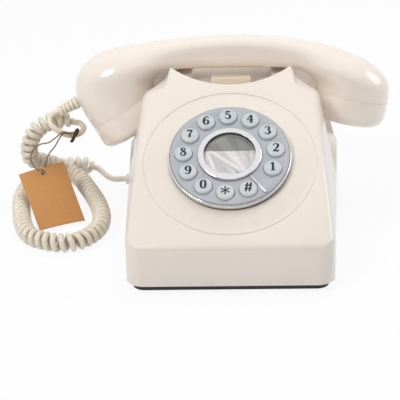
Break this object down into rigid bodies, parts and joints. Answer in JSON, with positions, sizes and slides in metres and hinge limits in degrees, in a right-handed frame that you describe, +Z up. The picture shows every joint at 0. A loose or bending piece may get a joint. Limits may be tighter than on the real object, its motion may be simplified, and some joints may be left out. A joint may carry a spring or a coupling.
{
  "type": "push-button desk telephone",
  "caption": "Corded desk telephone: wedge-shaped moulded case with push keys set in a ring, a handset lying across a horned cradle, a curly cord and a tied paper tag.",
  "frame": {"origin": "on the table, under the middle of the case", "axes": "+X to the right across the case and along the handset, +Y to the back, +Z up"},
  "size_m": [0.2907, 0.2164, 0.1305],
  "materials": {
    "cream_shell": "glossy cream",
    "black_base": "satin black",
    "foot_rubber": "matte",
    "screw_steel": "satin",
    "chrome_trim": "polished",
    "lilac_plate": "grey-lilac, semi-gloss",
    "white_card": "matt printed card",
    "clear_window": "clear, polished",
    "black_plastic": "satin black",
    "board_green": "satin",
    "membrane_rubber": "matte grey",
    "key_blue": "pale blue-grey, slightly translucent",
    "ivory_plastic": "semi-gloss ivory",
    "plated_steel": "satin",
    "copper_winding": "taped winding",
    "bell_metal": "satin",
    "capsule_metal": "satin",
    "cord_ivory": "semi-gloss ivory",
    "clear_plug": "clear",
    "kraft_card": "matt brown card",
    "brown_twine": "matt twine"
  },
  "bodies": {
    "case": {"case_cover": "cream_shell", "base_pan": "black_base", "rubber_feet": "foot_rubber", "cover_screws": "screw_steel", "dial_rim": "chrome_trim", "dial_plate": "lilac_plate", "finger_stop": "chrome_trim", "centre_ring": "chrome_trim", "label_card": "white_card", "label_window": "clear_window", "keypad_frame": "black_plastic", "keypad_board": "board_green", "keypad_membrane": "membrane_rubber", "hook_switch": "black_plastic", "main_board": "board_green", "ringer_bracket": "plated_steel", "ringer_coil": "copper_winding", "ringer_gongs": "bell_metal", "line_jack": "black_plastic", "handset_jack": "black_plastic", "cord_coil": "cord_ivory", "cord_tail": "cord_ivory", "handset_plug": "clear_plug"},
    "handset": {"handset_body": "cream_shell", "mouthpiece_cap": "cream_shell", "earpiece_cap": "cream_shell", "microphone_capsule": "capsule_metal", "receiver_capsule": "capsule_metal", "strain_relief": "ivory_plastic", "cord_lead": "cord_ivory", "tag_string": "brown_twine", "swing_tag": "kraft_card"},
    "hook": {"hook_bar": "ivory_plastic"},
    "key_1": {"key_1": "key_blue"},
    "key_2": {"key_2": "key_blue"},
    "key_3": {"key_3": "key_blue"},
    "key_4": {"key_4": "key_blue"},
    "key_5": {"key_5": "key_blue"},
    "key_6": {"key_6": "key_blue"},
    "key_7": {"key_7": "key_blue"},
    "key_8": {"key_8": "key_blue"},
    "key_9": {"key_9": "key_blue"},
    "key_0": {"key_0": "key_blue"},
    "key_star": {"key_star": "key_blue"},
    "key_hash": {"key_hash": "key_blue"},
    "clapper": {"ringer_clapper": "plated_steel"}
  },
  "joints": [
    {"name": "handset_lift", "type": "slide", "parent": "case", "child": "handset", "axis": [0, 0, 1], "range_m": [0, 0.12], "deforming": ["cord_coil"]},
    {"name": "hook_rise", "type": "slide", "parent": "case", "child": "hook", "axis": [0, 0, 1], "range_m": [0, 0.006]},
    {"name": "key_1_press", "type": "slide", "parent": "case", "child": "key_1", "axis": [0, 0.512, -0.859], "range_m": [0, 0.0016], "stiffness_N_per_m": 300, "springref_m": -0.0002},
    {"name": "key_2_press", "type": "slide", "parent": "case", "child": "key_2", "axis": [0, 0.512, -0.859], "range_m": [0, 0.0016], "stiffness_N_per_m": 300, "springref_m": -0.0002},
    {"name": "key_3_press", "type": "slide", "parent": "case", "child": "key_3", "axis": [0, 0.512, -0.859], "range_m": [0, 0.0016], "stiffness_N_per_m": 300, "springref_m": -0.0002},
    {"name": "key_4_press", "type": "slide", "parent": "case", "child": "key_4", "axis": [0, 0.512, -0.859], "range_m": [0, 0.0016], "stiffness_N_per_m": 300, "springref_m": -0.0002},
    {"name": "key_5_press", "type": "slide", "parent": "case", "child": "key_5", "axis": [0, 0.512, -0.859], "range_m": [0, 0.0016], "stiffness_N_per_m": 300, "springref_m": -0.0002},
    {"name": "key_6_press", "type": "slide", "parent": "case", "child": "key_6", "axis": [0, 0.512, -0.859], "range_m": [0, 0.0016], "stiffness_N_per_m": 300, "springref_m": -0.0002},
    {"name": "key_7_press", "type": "slide", "parent": "case", "child": "key_7", "axis": [0, 0.512, -0.859], "range_m": [0, 0.0016], "stiffness_N_per_m": 300, "springref_m": -0.0002},
    {"name": "key_8_press", "type": "slide", "parent": "case", "child": "key_8", "axis": [0, 0.512, -0.859], "range_m": [0, 0.0016], "stiffness_N_per_m": 300, "springref_m": -0.0002},
    {"name": "key_9_press", "type": "slide", "parent": "case", "child": "key_9", "axis": [0, 0.512, -0.859], "range_m": [0, 0.0016], "stiffness_N_per_m": 300, "springref_m": -0.0002},
    {"name": "key_0_press", "type": "slide", "parent": "case", "child": "key_0", "axis": [0, 0.512, -0.859], "range_m": [0, 0.0016], "stiffness_N_per_m": 300, "springref_m": -0.0002},
    {"name": "key_star_press", "type": "slide", "parent": "case", "child": "key_star", "axis": [0, 0.512, -0.859], "range_m": [0, 0.0016], "stiffness_N_per_m": 300, "springref_m": -0.0002},
    {"name": "key_hash_press", "type": "slide", "parent": "case", "child": "key_hash", "axis": [0, 0.512, -0.859], "range_m": [0, 0.0016], "stiffness_N_per_m": 300, "springref_m": -0.0002},
    {"name": "clapper_swing", "type": "hinge", "parent": "case", "child": "clapper", "pos_m": [0, -0.006, 0.0188], "axis": [0, 0, 1], "range_deg": [-14, 14], "stiffness_Nm_per_rad": 0.002}
  ],
  "couplings": [
    {"joint": "hook_rise", "follows": "handset_lift", "ratio": 0.05}
  ]
}
